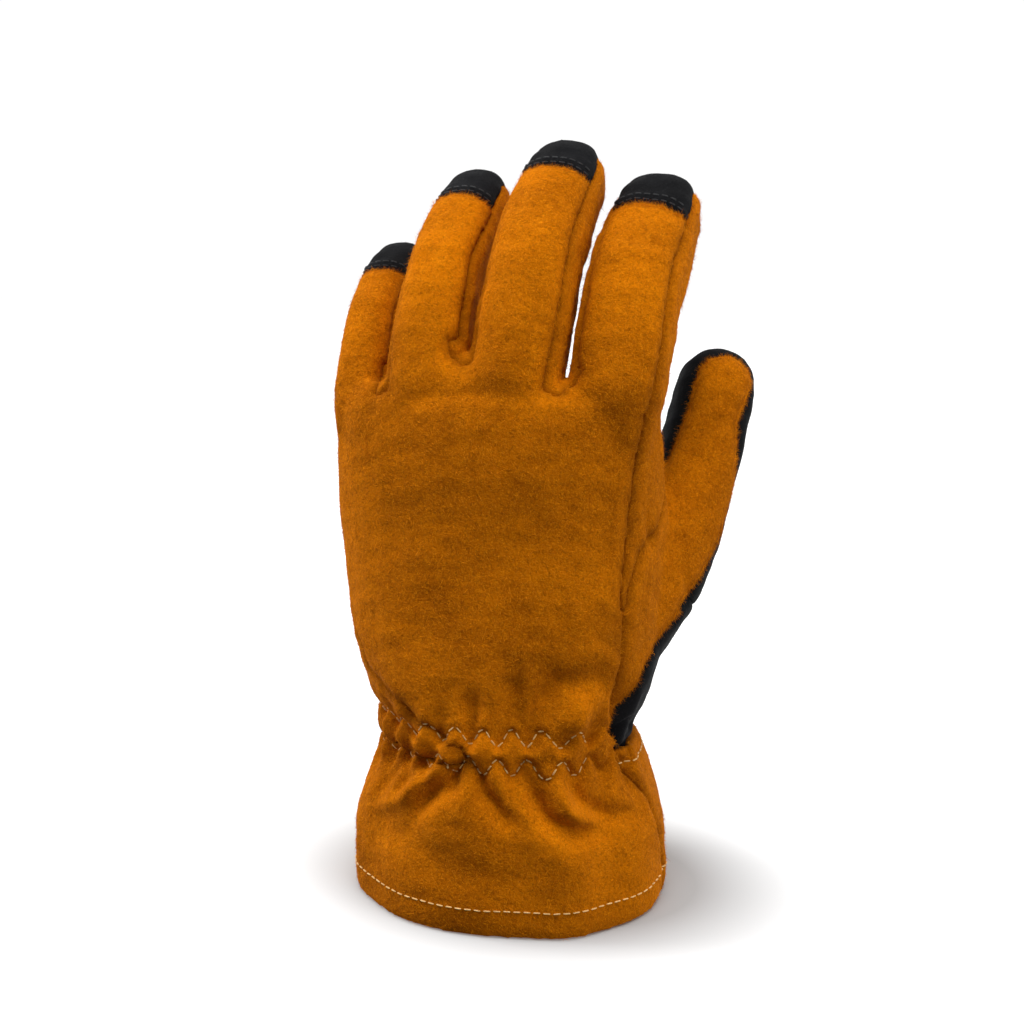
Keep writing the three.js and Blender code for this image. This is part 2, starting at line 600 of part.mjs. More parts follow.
// Fingers, clefts and thumb, without the hand.
const digits = (grow, fine) => join([
  ...FINGERS.map((f) => finger(f, grow, fine)),
  ...CLEFTS.map((c) => saddle(c, grow)),
  thumb(grow, fine),
]);
const hollow = hand(-LEATHER, COARSE, -FAR).add(digits(-LEATHER, COARSE));
const fingers = digits(0, FINE);
let shell = hand(0, FINE).add(fingers).subtract(hollow);

// The palm patch's foot is tucked in, so that the palm side of the cuff runs over it.
const TUCK = PATCH_LIFT + 1.25 * LEATHER + SEAM_GAP;
const tuckAt = (z) => -TUCK * smooth((CUFF_TOP + PATCH_RISE - z) / PATCH_RISE);
const patchHollow = hand(-LEATHER, COARSE, -FAR, tuckAt).add(digits(-LEATHER, COARSE));
let patch = hand(PATCH_LIFT, FINE, 0, tuckAt).add(fingers).subtract(patchHollow);

for (const [name, region] of Object.entries(GOLD_PANELS)) {
  add(name, shell.intersect(region(0)), 'gold');
  const cut = region(SEAM_GAP);
  [shell, patch] = [shell, patch].map((solid) => solid.subtract(cut));
}

// What is left over is the cuff's palm side, then the black: the thumb's front, the fingers' fronts with their caps,
// and the palm patch, which tucks under the cuff.
const under = (solid, height) => solid.splitByPlane([0, 0, 1], height)[1];
const over = (solid, height) => solid.splitByPlane([0, 0, 1], height)[0];
add('cuff_palm', under(shell, CUFF_TOP), 'gold');
add('thumb_front', shell.intersect(thumbEnd(THUMB_FRONT_ROOT)), 'black');
const pastThumb = thumbEnd(THUMB_FRONT_ROOT - SEAM_GAP / THUMB_LENGTH);
const palmBreak = heightOf(PALM_BREAK);
add('finger_fronts', over(shell.subtract(pastThumb), palmBreak + SEAM_GAP), 'black');
add('palm_patch', over(under(patch.subtract(pastThumb), palmBreak), PATCH_FOOT), 'black');

const middle = new THREE.Box3().setFromObject(glove).getCenter(new THREE.Vector3());
for (const mesh of glove.children) mesh.geometry.translate(-middle.x, -middle.y, 0);

export default glove;
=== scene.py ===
# %% [markdown]
# # A firefighter's glove in gold suede and black leather
# The glove stands on its open cuff, with its fingers up and bent a little towards the palm. The CAD model
# gives every panel as a plain wall of leather with flat facets. Here each panel becomes soft: rounded,
# pulled in along its seams, gathered at the wrist, covered with nap and sewn with thick thread.

# %% Load the frame
import math

import bmesh
import bpy
import numpy as np
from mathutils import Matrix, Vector
from mathutils.bvhtree import BVHTree
from mathutils.kdtree import KDTree


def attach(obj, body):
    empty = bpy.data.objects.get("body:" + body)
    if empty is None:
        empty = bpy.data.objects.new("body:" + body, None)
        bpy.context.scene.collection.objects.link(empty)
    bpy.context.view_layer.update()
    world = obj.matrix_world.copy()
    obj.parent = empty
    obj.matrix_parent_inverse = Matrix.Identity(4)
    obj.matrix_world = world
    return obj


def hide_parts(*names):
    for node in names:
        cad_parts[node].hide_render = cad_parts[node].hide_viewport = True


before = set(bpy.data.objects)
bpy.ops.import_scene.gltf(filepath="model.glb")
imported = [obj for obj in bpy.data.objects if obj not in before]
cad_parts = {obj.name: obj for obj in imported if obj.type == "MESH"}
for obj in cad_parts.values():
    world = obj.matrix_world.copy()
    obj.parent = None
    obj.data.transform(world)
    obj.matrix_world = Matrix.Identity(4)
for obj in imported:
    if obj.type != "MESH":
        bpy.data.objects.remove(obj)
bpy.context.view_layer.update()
MM = 0.001
chance = np.random.default_rng(7)
print("panels:", sorted(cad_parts))

# %% [markdown]
# The panels fall into two kinds. Gold ones are suede, the brushed flesh side of the hide. Black ones are a
# smoother leather. Where a gold edge lies on black, the cut is raw and its fibres hang over it.

# %% Which panels are gold and which are black
GOLD = ["back_panel", "cuff_palm", "strip_index_middle", "strip_middle_ring", "strip_ring_little",
        "strip_thumb_side", "strip_little_side", "thumb_back"]
BLACK = ["finger_fronts", "palm_patch", "thumb_front"]
PANELS = GOLD + BLACK
print("gold panels:", len(GOLD), "black panels:", len(BLACK))

# %% [markdown]
# An operator acts on all that is selected, so everything is deselected before each one. Points are read and
# written as whole arrays, which keeps a mesh of a hundred thousand points quick to shape. Near the rim
# nothing moves, so that the glove keeps standing on the floor.

# %% Selecting, reading and writing points
def select_only(obj):
    bpy.ops.object.select_all(action="DESELECT")
    obj.select_set(True)
    bpy.context.view_layer.objects.active = obj


def apply_modifier(obj, name, kind, **settings):
    select_only(obj)
    modifier = obj.modifiers.new(name, kind)
    for key, value in settings.items():
        setattr(modifier, key, value)
    bpy.ops.object.modifier_apply(modifier=modifier.name)


def points(obj, normals=False):
    data = np.empty(len(obj.data.vertices) * 3, np.float32)
    if normals:
        obj.data.vertex_normals.foreach_get("vector", data)
    else:
        obj.data.vertices.foreach_get("co", data)
    return data.reshape(-1, 3).astype(float)


def move_points(obj, places):
    obj.data.vertices.foreach_set("co", places.astype(np.float32).ravel())
    obj.data.update()


RIM_FLAT = 1 * MM
MERGE = 0.002 * MM


def off_the_rim(places, ease):
    """Nought up to RIM_FLAT, where the rim stands on the floor, and one from ease above that."""
    return np.clip((places[:, 2] - RIM_FLAT) / ease, 0, 1)


def tree_of(places):
    tree = KDTree(len(places))
    for i, place in enumerate(places):
        tree.insert(place, i)
    tree.balance()
    return tree


def panel_copy(node):
    """A copy of one panel's CAD mesh, with doubled points merged, free to be reshaped."""
    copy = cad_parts[node].copy()
    copy.data = copy.data.copy()
    copy.parent = None
    bpy.context.scene.collection.objects.link(copy)
    for key in list(copy.keys()):
        del copy[key]
    copy.hide_render = copy.hide_viewport = False
    select_only(copy)
    bpy.ops.object.mode_set(mode="EDIT")
    bpy.ops.mesh.select_all(action="SELECT")
    bpy.ops.mesh.remove_doubles(threshold=MERGE)
    bpy.ops.object.mode_set(mode="OBJECT")
    return copy


# %% [markdown]
# The two faces of a wall have to move together, or a fold would tear it. So each point's outward direction
# is that of the outside of the glove, also on the inner face, whose own normal points the other way. A
# point lies on the outside where it sees the sky in some direction.

# %% Which points lie on the outside
SKY_RISES, SKY_TURNS = (0.05, 0.6, 1.1), np.arange(8) * math.pi / 4
SKY = [(math.cos(turn) * math.cos(rise), math.sin(turn) * math.cos(rise), math.sin(rise))
       for rise in SKY_RISES for turn in SKY_TURNS] + [(0, 0, 1)]
RAY_START = 0.6 * MM  # off the leather, so that a ray doesn't meet its own start
STEEPEST = -0.3  # how far behind a point's own tangent plane it still looks


def outer_points(obj):
    """One for a point that sees the sky in some direction, minus one for a point of the hollow inside."""
    tree = BVHTree.FromObject(obj, bpy.context.evaluated_depsgraph_get())
    ways = np.array(SKY)
    sides = []
    for place, normal in zip(points(obj), points(obj, normals=True)):
        start = Vector(place + normal * RAY_START)
        facing = ways @ normal
        tried = [k for k in np.argsort(-facing) if facing[k] > STEEPEST]
        open_sky = any(tree.ray_cast(start, Vector(ways[k]))[0] is None for k in tried)
        sides.append(1 if open_sky else -1)
    return sides


# %% [markdown]
# A glove is soft as a whole before it is a set of panels. So the panels are first joined into one body,
# which is smoothed until its facets are gone. How far each point moved is kept as a map, and every panel is
# later moved by the same map. That rounds the glove and keeps the panels' edges where the seams are.

# %% Smooth the whole glove and keep how far its points move
WHOLE_VOXEL = 1.3 * MM
WHOLE_SMOOTHING = 40
JOIN_PUFF = 0.25 * MM  # each panel grows by this, so that neighbours touch and fuse
WHOLE_RIM_EASE = 9 * MM
parts = [panel_copy(node) for node in PANELS]
for part in parts:
    move_points(part, points(part) + JOIN_PUFF * points(part, normals=True))
select_only(parts[0])
for part in parts:
    part.select_set(True)
bpy.ops.object.join()
whole = bpy.context.view_layer.objects.active
apply_modifier(whole, "one skin", "REMESH", mode="VOXEL", voxel_size=WHOLE_VOXEL)
before = points(whole)
seen_from_outside = np.array(outer_points(whole))
apply_modifier(whole, "soften", "SMOOTH", factor=0.5, iterations=WHOLE_SMOOTHING)
after = points(whole)
whole_normals = points(whole, normals=True) * seen_from_outside[:, None]
shift = after - before
shift[:, 2] *= off_the_rim(before, WHOLE_RIM_EASE)
whole_tree = tree_of(before)
print("whole skin:", len(before), "points, largest move", round(float(np.abs(shift).max() / MM), 2), "mm")


NEIGHBOURS = 4
BLUR = 0.1 * MM


def whole_at(places):
    """The whole skin's move, outward direction and side at each place, as means over the nearest points."""
    moves = np.empty_like(places)
    ways = np.empty_like(places)
    sides = np.empty(len(places))
    for i, place in enumerate(places):
        found = whole_tree.find_n(place, NEIGHBOURS)
        weight = np.array([1 / (distance + BLUR) for _, _, distance in found])
        weight /= weight.sum()
        index = [k for _, k, _ in found]
        moves[i] = weight @ shift[index]
        ways[i] = weight @ whole_normals[index]
        sides[i] = weight @ seen_from_outside[index]
    ways /= np.linalg.norm(ways, axis=1, keepdims=True) + 1e-9
    return moves, ways, sides


# %% [markdown]
# Each panel is then remeshed finely enough for folds and seams, moved by the map, and named after its node.

# %% Remesh each panel and move it onto the soft form
FINE_VOXEL = {"back_panel": 0.92 * MM, "finger_fronts": 0.85 * MM, "palm_patch": 0.85 * MM}
OTHER_VOXEL = 0.8 * MM
EDGE_SMOOTHING = 4
pieces = {}
outward = {}
outer_side = {}
for node in PANELS:
    piece = panel_copy(node)
    piece.name = "soft_" + node
    apply_modifier(piece, "fine", "REMESH", mode="VOXEL", voxel_size=FINE_VOXEL.get(node, OTHER_VOXEL))
    apply_modifier(piece, "edges", "SMOOTH", factor=0.5, iterations=EDGE_SMOOTHING)
    places = points(piece)
    moves, outward[node], outer_side[node] = whole_at(places)
    move_points(piece, places + moves)
    pieces[node] = piece
    print(node, len(piece.data.polygons), "faces")
bpy.data.objects.remove(whole)


# %% [markdown]
# No hide is perfectly even. A slow random swell, a few tenths of a millimetre high and some centimetres
# long, keeps the back from looking moulded. It is a sum of slanted waves, the same in every run.

# %% A slow swell over the whole glove
WAVES = 9
WAVE_RANGE = (0.7, 1.5)  # the waves' lengths, as shares of the one asked for


def swell(places, wave, seed):
    picked = np.random.default_rng(seed)
    total = np.zeros(len(places))
    for _ in range(WAVES):
        way = picked.normal(size=3)
        way *= 2 * math.pi / (wave * picked.uniform(*WAVE_RANGE)) / np.linalg.norm(way)
        total += np.sin(places @ way + picked.uniform(0, 2 * math.pi))
    return total / math.sqrt(WAVES)


# %% [markdown]
# The wrist is gathered by two wavy stitched rows. Between the rows the leather stands up in puffs, at the
# rows it is drawn in, and long soft folds run from them down the cuff and a short way up the back. The rows
# share the pleats' spacing, so each crest of the upper row sits over a trough of the lower one.

# %% The wrist's gathers and folds
# The rows run between two turns round the wrist, nought on the thumb's side and 270 on the back. A puff
# stands "puff" out and leans by "slant", each row is drawn in by "drawn", and the pleats have a height and
# a reach on either side.
GATHER = {"count": 12, "first": 178, "last": 352, "upper": 63.5 * MM, "lower": 54 * MM, "wave": 2.7 * MM,
          "puff": 1.3 * MM, "slant": 0.8 * MM, "drawn": 1.0 * MM, "row_half": 1.2 * MM,
          "pleat_above": (1.2 * MM, 9 * MM), "pleat_below": (1.5 * MM, 10 * MM)}
ENDS_FADE = 10  # the gathers fade out over a tenth of their run at each end
WRIST_AXIS = np.array([-7.6, -6.1]) * MM


def turn_of(places):
    turn = np.degrees(np.arctan2(places[:, 1] - WRIST_AXIS[1], places[:, 0] - WRIST_AXIS[0]))
    return turn % 360


def gather_share(turn):
    return (turn - GATHER["first"]) / (GATHER["last"] - GATHER["first"])


def pleat_phase(turn):
    return 2 * math.pi * (gather_share(turn) * GATHER["count"] - 0.5)


def row_height(turn, row):
    swing = GATHER["wave"] * np.cos(pleat_phase(turn))
    return GATHER["upper"] + swing if row == "upper" else GATHER["lower"] - swing


def bump(x):
    return np.exp(-x * x)


# Long folds: the turns and heights that each runs through, its half width, and its depth (minus is a
# valley).
FOLDS = [
    ([(292, 53), (296, 46), (301, 39), (311, 34), (326, 32)], 3.3, -4.6),
    ([(303, 52), (309, 42), (321, 37)], 3.0, 2.4),
    ([(309, 52), (316, 43), (328, 37), (346, 34)], 3.2, -3.4),
    ([(270, 53), (274, 46), (281, 40), (291, 36)], 3.3, -3.6),
    ([(280, 51), (287, 41), (300, 29)], 4.2, 1.8),
    ([(263, 52), (253, 46), (244, 40), (239, 32)], 3.4, -3.6),
    ([(254, 55), (240, 46), (224, 36), (212, 31)], 3.3, 2.6),
    ([(245, 54), (234, 46), (226, 39)], 3.0, -3.2),
    ([(231, 55), (222, 47), (215, 38)], 3.0, -2.8),
    ([(218, 54), (211, 46), (206, 38)], 3.0, -2.6),
    ([(204, 53), (200, 38)], 3.2, -2.4),
    ([(190, 53), (187, 38)], 3.2, -2.0),
    ([(216, 31), (244, 25), (268, 21), (294, 17)], 7.0, -1.8),
    ([(264, 46), (259, 37)], 6.0, 1.4),
    ([(336, 50), (352, 36)], 4.0, -2.6),
    ([(285, 66), (287, 74), (290, 84)], 4.4, -3.2),
    ([(298, 67), (301, 75), (309, 82), (322, 83), (333, 79)], 4.6, -3.6),
    ([(308, 68), (320, 75)], 5.0, 2.2),
    ([(292, 69), (296, 84)], 4.2, 1.8),
    ([(272, 67), (263, 79)], 5.0, -2.0),
    ([(338, 66), (334, 80)], 4.5, -2.0),
]
TURN_STEP = 0.75  # millimetres round the wrist to one degree of turn
FOLD_START, FOLD_RUN = 0.16, 0.76  # which part of a half wave a fold's strength follows


def near_fold(turn, height, course):
    """Distance from a fold's course and the share of it run there, with turns measured as lengths."""
    ends = np.array(course, float) * (TURN_STEP, 1)
    here = np.stack([turn * TURN_STEP, height / MM], axis=1)
    lengths = np.linalg.norm(np.diff(ends, axis=0), axis=1)
    best, share = np.full(len(here), np.inf), np.zeros(len(here))
    for i, length in enumerate(lengths):
        run = np.clip((here - ends[i]) @ (ends[i + 1] - ends[i]) / length ** 2, 0, 1)
        distance = np.linalg.norm(here - ends[i] - run[:, None] * (ends[i + 1] - ends[i]), axis=1)
        nearer = distance < best
        best[nearer] = distance[nearer]
        share[nearer] = ((lengths[:i].sum() + run * length) / lengths.sum())[nearer]
    return best, share


def gathers(places):
    turn, height = turn_of(places), places[:, 2]
    share = gather_share(turn)
    inside = np.clip(np.minimum(share, 1 - share) * ENDS_FADE + 0.5, 0, 1)
    upper, lower = row_height(turn, "upper"), row_height(turn, "lower")
    # The puffs between the rows, cut apart by slanting valleys, and the two drawn-in rows.
    down = np.clip((upper - height) / (upper - lower), 0, 1)
    phase = pleat_phase(turn)
    out = (GATHER["puff"] + GATHER["slant"] * np.cos(phase + math.pi * down)) * np.sin(math.pi * down)
    for line in (upper, lower):
        out -= GATHER["drawn"] * bump((height - line) / GATHER["row_half"])
    # Pleats that die away above and below the rows.
    high, reach = GATHER["pleat_above"]
    out += np.where(height > upper, high * np.cos(phase) * bump((height - upper) / reach), 0)
    high, reach = GATHER["pleat_below"]
    out -= np.where(height < lower, high * np.cos(phase) * bump((lower - height) / reach), 0)
    out *= inside
    for course, half_width, depth in FOLDS:
        distance, along = near_fold(turn, height, course)
        strength = np.sin(math.pi * (FOLD_START + FOLD_RUN * along))
        out += depth * MM * bump(distance / half_width) * strength
    return out


# %% [markdown]
# Folds elsewhere follow how a hand bends. The thumb's web is creased where thumb and palm meet, and the
# palm side of each finger is creased at its joints. Each crease is a short soft valley through a point, in
# a given direction.

# %% Creases at the thumb's web and the finger joints
# Each crease: middle and direction, then half length, half width and depth in millimetres (minus is a
# valley).
CREASES = [
    ((46, -15, 118), (0.35, 0.2, -0.9), 20, 2.2, -1.3), ((50, -8, 112), (0.2, 0.25, -0.95), 17, 2.4, -1.2),
    ((44, -21, 104), (0.3, 0.3, -0.9), 15, 2.6, 1.0), ((53, 0, 104), (0.1, 0.3, -0.95), 14, 2.4, -1.0),
    ((48, -12, 104), (0.3, 0.25, -0.9), 13, 2.4, 0.9), ((3, 27, 108), (0.95, 0.1, 0.3), 24, 3.0, -1.6),
    ((11, 30, 92), (0.8, 0.1, 0.6), 22, 3.0, -1.3), ((-27, 28, 96), (0.9, 0.1, -0.25), 18, 3.0, -1.1),
    ((28, 20, 76), (0.9, 0.2, 0.4), 16, 3.0, -1.2), ((-12, 18, 136), (1, 0, 0.1), 34, 2.6, -1.4),
    ((-9, 33, 68), (1, 0, 0), 34, 3.2, -1.2), ((-7, 32, 78), (1, 0, -0.08), 26, 3.0, 0.9),
    # The sides of neighbouring fingers swell towards each other.
    ((18, -1, 190), (0.02, 0.3, 0.95), 26, 11.0, 1.25), ((-13, 0, 190), (0.0, 0.3, 0.95), 24, 10.0, 0.8),
]


def creases(places):
    out = np.zeros(len(places))
    for middle, way, length, width, depth in CREASES:
        way = np.array(way) / np.linalg.norm(way)
        off = places / MM - np.array(middle)
        along = off @ way
        across = np.linalg.norm(off - along[:, None] * way, axis=1)
        out += depth * MM * bump(across / width) * bump(along / length)
    return out


# %% [markdown]
# The swell, the gathers and the creases are added up to one height at each point. Low on the glove the
# leather moves by that height straight out from the wrist's axis, and on the hand and the fingers along its
# own outward direction.

# %% Move every panel by its folds
LOW_TOP, HIGH_FOOT = 84 * MM, 104 * MM
RIM_EASE = 6 * MM
SWELLS = ((0.35 * MM, 34 * MM, 3), (0.14 * MM, 9 * MM, 5))  # height, wave and seed
for node, piece in pieces.items():
    places = points(piece)
    rise = sum(height * swell(places, wave, seed) for height, wave, seed in SWELLS)
    rise += gathers(places) + creases(places)
    radial = np.zeros_like(places)
    radial[:, :2] = places[:, :2] - WRIST_AXIS
    radial /= np.linalg.norm(radial, axis=1, keepdims=True) + 1e-9
    high = np.clip((places[:, 2] - LOW_TOP) / (HIGH_FOOT - LOW_TOP), 0, 1)[:, None]
    outward[node] = radial * (1 - high) + outward[node] * high
    move_points(piece, places + outward[node] * (rise * off_the_rim(places, RIM_EASE))[:, None])
print("folds added to", len(pieces), "panels")


# %% [markdown]
# A seam pulls both its edges in. For each point the distance to the nearest other panel is found. Close to
# it the leather dips, a little further off it swells, and the two edges are pushed together so that no
# light shows between.

# %% Find the other panels near each panel
NEAR = 8 * MM
edge_trees = {}
for node, piece in pieces.items():
    own = points(piece)
    others = np.concatenate([points(other) for name, other in pieces.items() if name != node])
    inside = np.all((others > own.min(axis=0) - NEAR) & (others < own.max(axis=0) + NEAR), axis=1)
    edge_trees[node] = tree_of(others[inside])
print("trees for", len(edge_trees), "panels")

# %% [markdown]
# The distance also stays on each point as an attribute, so that the material can paint shade along the
# seams, where the leather dips.

# %% Pull the leather in along every seam
# Sizes in millimetres: depth and half width of the dip, height, distance and half width of the swelling
# beside it, push and half width of the closing, and how far the seam's painted shade reaches.
DIP, DIP_HALF = 0.75, 1.5
BESIDE, BESIDE_AT, BESIDE_HALF = 0.28, 4.2, 2.0
CLOSING, CLOSING_HALF = 0.42, 1.0
SHADE_REACH = 3.5
SETTLING = 2
for node, piece in pieces.items():
    places, own = points(piece), points(piece, normals=True)
    gap = np.array([edge_trees[node].find(place)[2] for place in places]) / MM
    dip = BESIDE * bump((gap - BESIDE_AT) / BESIDE_HALF) - DIP * bump(gap / DIP_HALF)
    closing = CLOSING * bump(gap / CLOSING_HALF)
    free = off_the_rim(places, RIM_EASE) * MM
    move_points(piece, places + outward[node] * (dip * free)[:, None] + own * (closing * free)[:, None])
    apply_modifier(piece, "settle", "SMOOTH", factor=0.4, iterations=SETTLING)
    shade = piece.data.attributes.new("seam", "FLOAT", "POINT")
    shade.data.foreach_set("value", np.clip(1 - gap / SHADE_REACH, 0, 1).astype(np.float32))
    piece.data.shade_smooth()
print("seams drawn in")


# %% [markdown]
# A material is a tree of nodes. A few short functions add them: add_node sets a plain value and links a
# socket, and the others make noise, stretch a range, blend two colours and turn a height into bumps. All
# noise reads the object's own coordinates, so it stays on the leather from every side.

# %% A short way to build nodes
def add_node(tree, kind, sockets=None, **settings):
    made = tree.nodes.new(kind)
    for key, value in settings.items():
        setattr(made, key, value)
    for key, value in (sockets or {}).items():
        if isinstance(value, bpy.types.NodeSocket):
            tree.links.new(value, made.inputs[key])
        else:
            made.inputs[key].default_value = value
    return made


def new_material(name):
    material = bpy.data.materials.new(name)
    material.use_nodes = True
    tree = material.node_tree
    where = add_node(tree, "ShaderNodeTexCoord").outputs["Object"]
    return material, tree, tree.nodes["Principled BSDF"], where


def noise(tree, where, scale, detail=3, rough=0.55, distortion=0):
    sockets = {"Vector": where, "Scale": scale, "Detail": detail, "Roughness": rough,
               "Distortion": distortion}
    return add_node(tree, "ShaderNodeTexNoise", sockets).outputs["Fac"]


def spread(tree, value, low, high, out_low=0, out_high=1):
    sockets = {"Value": value, "From Min": low, "From Max": high, "To Min": out_low, "To Max": out_high}
    return add_node(tree, "ShaderNodeMapRange", sockets).outputs["Result"]


def blend_colours(tree, share, first, second, blend="MIX"):
    mixed = add_node(tree, "ShaderNodeMix", data_type="RGBA", blend_type=blend)
    for socket, value in ((mixed.inputs[0], share), (mixed.inputs[6], first), (mixed.inputs[7], second)):
        if isinstance(value, bpy.types.NodeSocket):
            tree.links.new(value, socket)
        else:
            socket.default_value = value if isinstance(value, (int, float)) else (*value, 1)
    return mixed.outputs[2]


def bump_map(tree, height, distance, strength=1.0, under=None):
    sockets = {"Height": height, "Distance": distance, "Strength": strength}
    if under is not None:
        sockets["Normal"] = under
    return add_node(tree, "ShaderNodeBump", sockets).outputs["Normal"]


# %% [markdown]
# Suede is the split side of the hide, brushed until its fibres stand up. Up close it is never one colour:
# patches a few centimetres wide are paler or browner, smaller ones look rubbed, and single fibres catch the
# light, which is painted in as pale flecks. So its colour is built from noise at several sizes, with a
# painted shade that darkens it towards the seams, where the leather dips.

# %% Gold suede
GOLD_WARM, GOLD_DEEP, GOLD_GLINT = (0.60, 0.165, 0.0008), (0.34, 0.086, 0.0004), (0.85, 0.28, 0.006)
SEAM_SHADE_BROWN = (0.15, 0.04, 0.001)
# Noise sizes, as waves to a metre.
PATCHES, RUBBED, PITS, GLINT_FLECKS, SUEDE_FINE, SUEDE_COARSE = 28, 210, 900, 1300, 1500, 330
gold_suede, tree, shader, where = new_material("gold_suede")
patches = spread(tree, noise(tree, where, PATCHES, 4, 0.6), 0.36, 0.64)
colour = blend_colours(tree, patches, GOLD_DEEP, GOLD_WARM)
rubbed = spread(tree, noise(tree, where, RUBBED, 4, 0.65, 0.6), 0.34, 0.68)
colour = blend_colours(tree, spread(tree, rubbed, 0, 1, 0.0, 0.42), colour, GOLD_WARM)
# Pale flecks: a painted glint, where single fibres would catch the light.
painted_glints = spread(tree, noise(tree, where, GLINT_FLECKS, 2, 0.7, 1.2), 0.51, 0.68, 0, 0.55)
colour = blend_colours(tree, painted_glints, colour, GOLD_GLINT)
pits = spread(tree, noise(tree, where, PITS, 2, 0.6, 0.8), 0.32, 0.50, 0.68, 1.0)
colour = blend_colours(tree, 1.0, colour, pits, "MULTIPLY")
# Painted shade: the colour darkens towards the seams, where the leather dips.
seam = add_node(tree, "ShaderNodeAttribute", attribute_name="seam").outputs["Fac"]
colour = blend_colours(tree, spread(tree, seam, 0, 1, 0, 0.6), colour, SEAM_SHADE_BROWN)
tree.links.new(colour, shader.inputs["Base Color"])
tree.links.new(spread(tree, rubbed, 0, 1, 0.98, 0.84), shader.inputs["Roughness"])
shader.inputs["Specular IOR Level"].default_value = 0.02
shader.inputs["Sheen Weight"].default_value = 0.05
shader.inputs["Sheen Roughness"].default_value = 0.45
shader.inputs["Sheen Tint"].default_value = (1.0, 0.5, 0.1, 1)
grain = bump_map(tree, noise(tree, where, SUEDE_FINE, 3, 0.7), 0.45 * MM, 1.0)
grain = bump_map(tree, noise(tree, where, SUEDE_COARSE, 3, 0.6, 0.5), 0.7 * MM, 0.7, grain)
tree.links.new(grain, shader.inputs["Normal"])
print("material:", gold_suede.name)

# %% [markdown]
# The black leather is split hide too, dyed through and pressed harder, so it looks like felt: near black,
# with a faint grey lint and a fine grain.

# %% Black leather
BLACK_DEEP, BLACK_WORN = (0.002, 0.002, 0.0025), (0.005, 0.005, 0.006)
BLACK_LINT, BLACK_SEAM_SHADE = (0.024, 0.025, 0.027), (0.0015, 0.0015, 0.0015)
WORN, LINT, FELT_FINE, FELT_COARSE = 60, 1150, 1700, 260
black_leather, tree, shader, where = new_material("black_leather")
lint = spread(tree, noise(tree, where, LINT, 2, 0.7, 1.0), 0.56, 0.74, 0, 0.5)
worn = spread(tree, noise(tree, where, WORN, 4, 0.6), 0.35, 0.65)
colour = blend_colours(tree, lint, blend_colours(tree, worn, BLACK_DEEP, BLACK_WORN), BLACK_LINT)
# Painted shade: the colour darkens towards the seams, where the leather dips.
seam = add_node(tree, "ShaderNodeAttribute", attribute_name="seam").outputs["Fac"]
colour = blend_colours(tree, spread(tree, seam, 0, 1, 0, 0.5), colour, BLACK_SEAM_SHADE)
tree.links.new(colour, shader.inputs["Base Color"])
shader.inputs["Roughness"].default_value = 0.78
shader.inputs["Specular IOR Level"].default_value = 0.07
grain = bump_map(tree, noise(tree, where, FELT_FINE, 3, 0.7), 0.3 * MM, 0.8)
grain = bump_map(tree, noise(tree, where, FELT_COARSE, 3, 0.6, 0.5), 0.5 * MM, 0.45, grain)
tree.links.new(grain, shader.inputs["Normal"])
print("material:", black_leather.name)

# %% [markdown]
# Each panel takes its leather, rides on the root and stands in for its node of the CAD model.

# %% Give each panel its leather
for node, piece in pieces.items():
    piece.data.materials.clear()
    piece.data.materials.append(gold_suede if node in GOLD else black_leather)
    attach(piece, "root")
    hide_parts(node)
print("materials on", len(pieces), "panels")


# %% [markdown]
# The glove is sewn with a thick thread: cream on the palm, tan on the suede and dark grey on the
# fingertips. A fine fuzz of a darker and a lighter shade covers it.

# %% The three threads
THREAD_FUZZ = 2600  # waves to a metre
THREAD_BUMP = 0.08 * MM


def thread_material(name, dark, light, roughness):
    material, tree, shader, where = new_material(name)
    fuzz = spread(tree, noise(tree, where, THREAD_FUZZ, 2, 0.6), 0.3, 0.7)
    tree.links.new(blend_colours(tree, fuzz, dark, light), shader.inputs["Base Color"])
    shader.inputs["Roughness"].default_value = roughness
    tree.links.new(bump_map(tree, fuzz, THREAD_BUMP), shader.inputs["Normal"])
    return material


thread = thread_material("cream_thread", (0.46, 0.36, 0.17), (0.78, 0.68, 0.42), 0.7)
gold_thread = thread_material("tan_thread", (0.62, 0.33, 0.08), (0.86, 0.60, 0.25), 0.75)
grey_thread = thread_material("grey_thread", (0.018, 0.019, 0.02), (0.045, 0.047, 0.05), 0.7)
print("threads:", thread.name, gold_thread.name, grey_thread.name)

# %% [markdown]
# Where a row of stitches shows it is a line of short dashes. One dash is modelled from a cylinder, with its
# ends drawn in and rounded, and a copy is laid at every step of each row.

# %% One dash of thread, made once
def pattern_of(obj):
    """A modelled shape's points and faces, with the object taken away."""
    shape = points(obj), [tuple(face.vertices) for face in obj.data.polygons]
    bpy.data.objects.remove(obj)
    return shape


# A dash is 2 long and 2 thick: its body, and an end on either side that narrows to a share of the
# thickness.
DASH_SIDES, DASH_BODY, DASH_END, DASH_TAPER = 6, 1.5, 0.25, 0.45
bpy.ops.object.select_all(action="DESELECT")
bpy.ops.mesh.primitive_cylinder_add(vertices=DASH_SIDES, radius=1, depth=DASH_BODY)
dash = bpy.context.object
bpy.ops.object.mode_set(mode="EDIT")
bpy.ops.mesh.select_mode(type="FACE")
for end in (1, -1):
    bpy.ops.mesh.select_all(action="DESELECT")
    edit = bmesh.from_edit_mesh(dash.data)
    edit.faces.ensure_lookup_table()
    for face in edit.faces:
        face.select_set(face.normal.z * end > 0.9)
    bmesh.update_edit_mesh(dash.data)
    bpy.ops.mesh.extrude_region_move(TRANSFORM_OT_translate={"value": (0, 0, end * DASH_END)})
    bpy.ops.transform.resize(value=(DASH_TAPER, DASH_TAPER, 1), center_override=(0, 0, 0))
bpy.ops.object.mode_set(mode="OBJECT")
DASH = pattern_of(dash)
print("one dash:", len(DASH[0]), "points,", len(DASH[1]), "faces")

# %% [markdown]
# A copy is laid by a middle and three directions, one for each of the shape's axes. All copies of a row or
# of a panel's nap are one piece, which rides on the root.

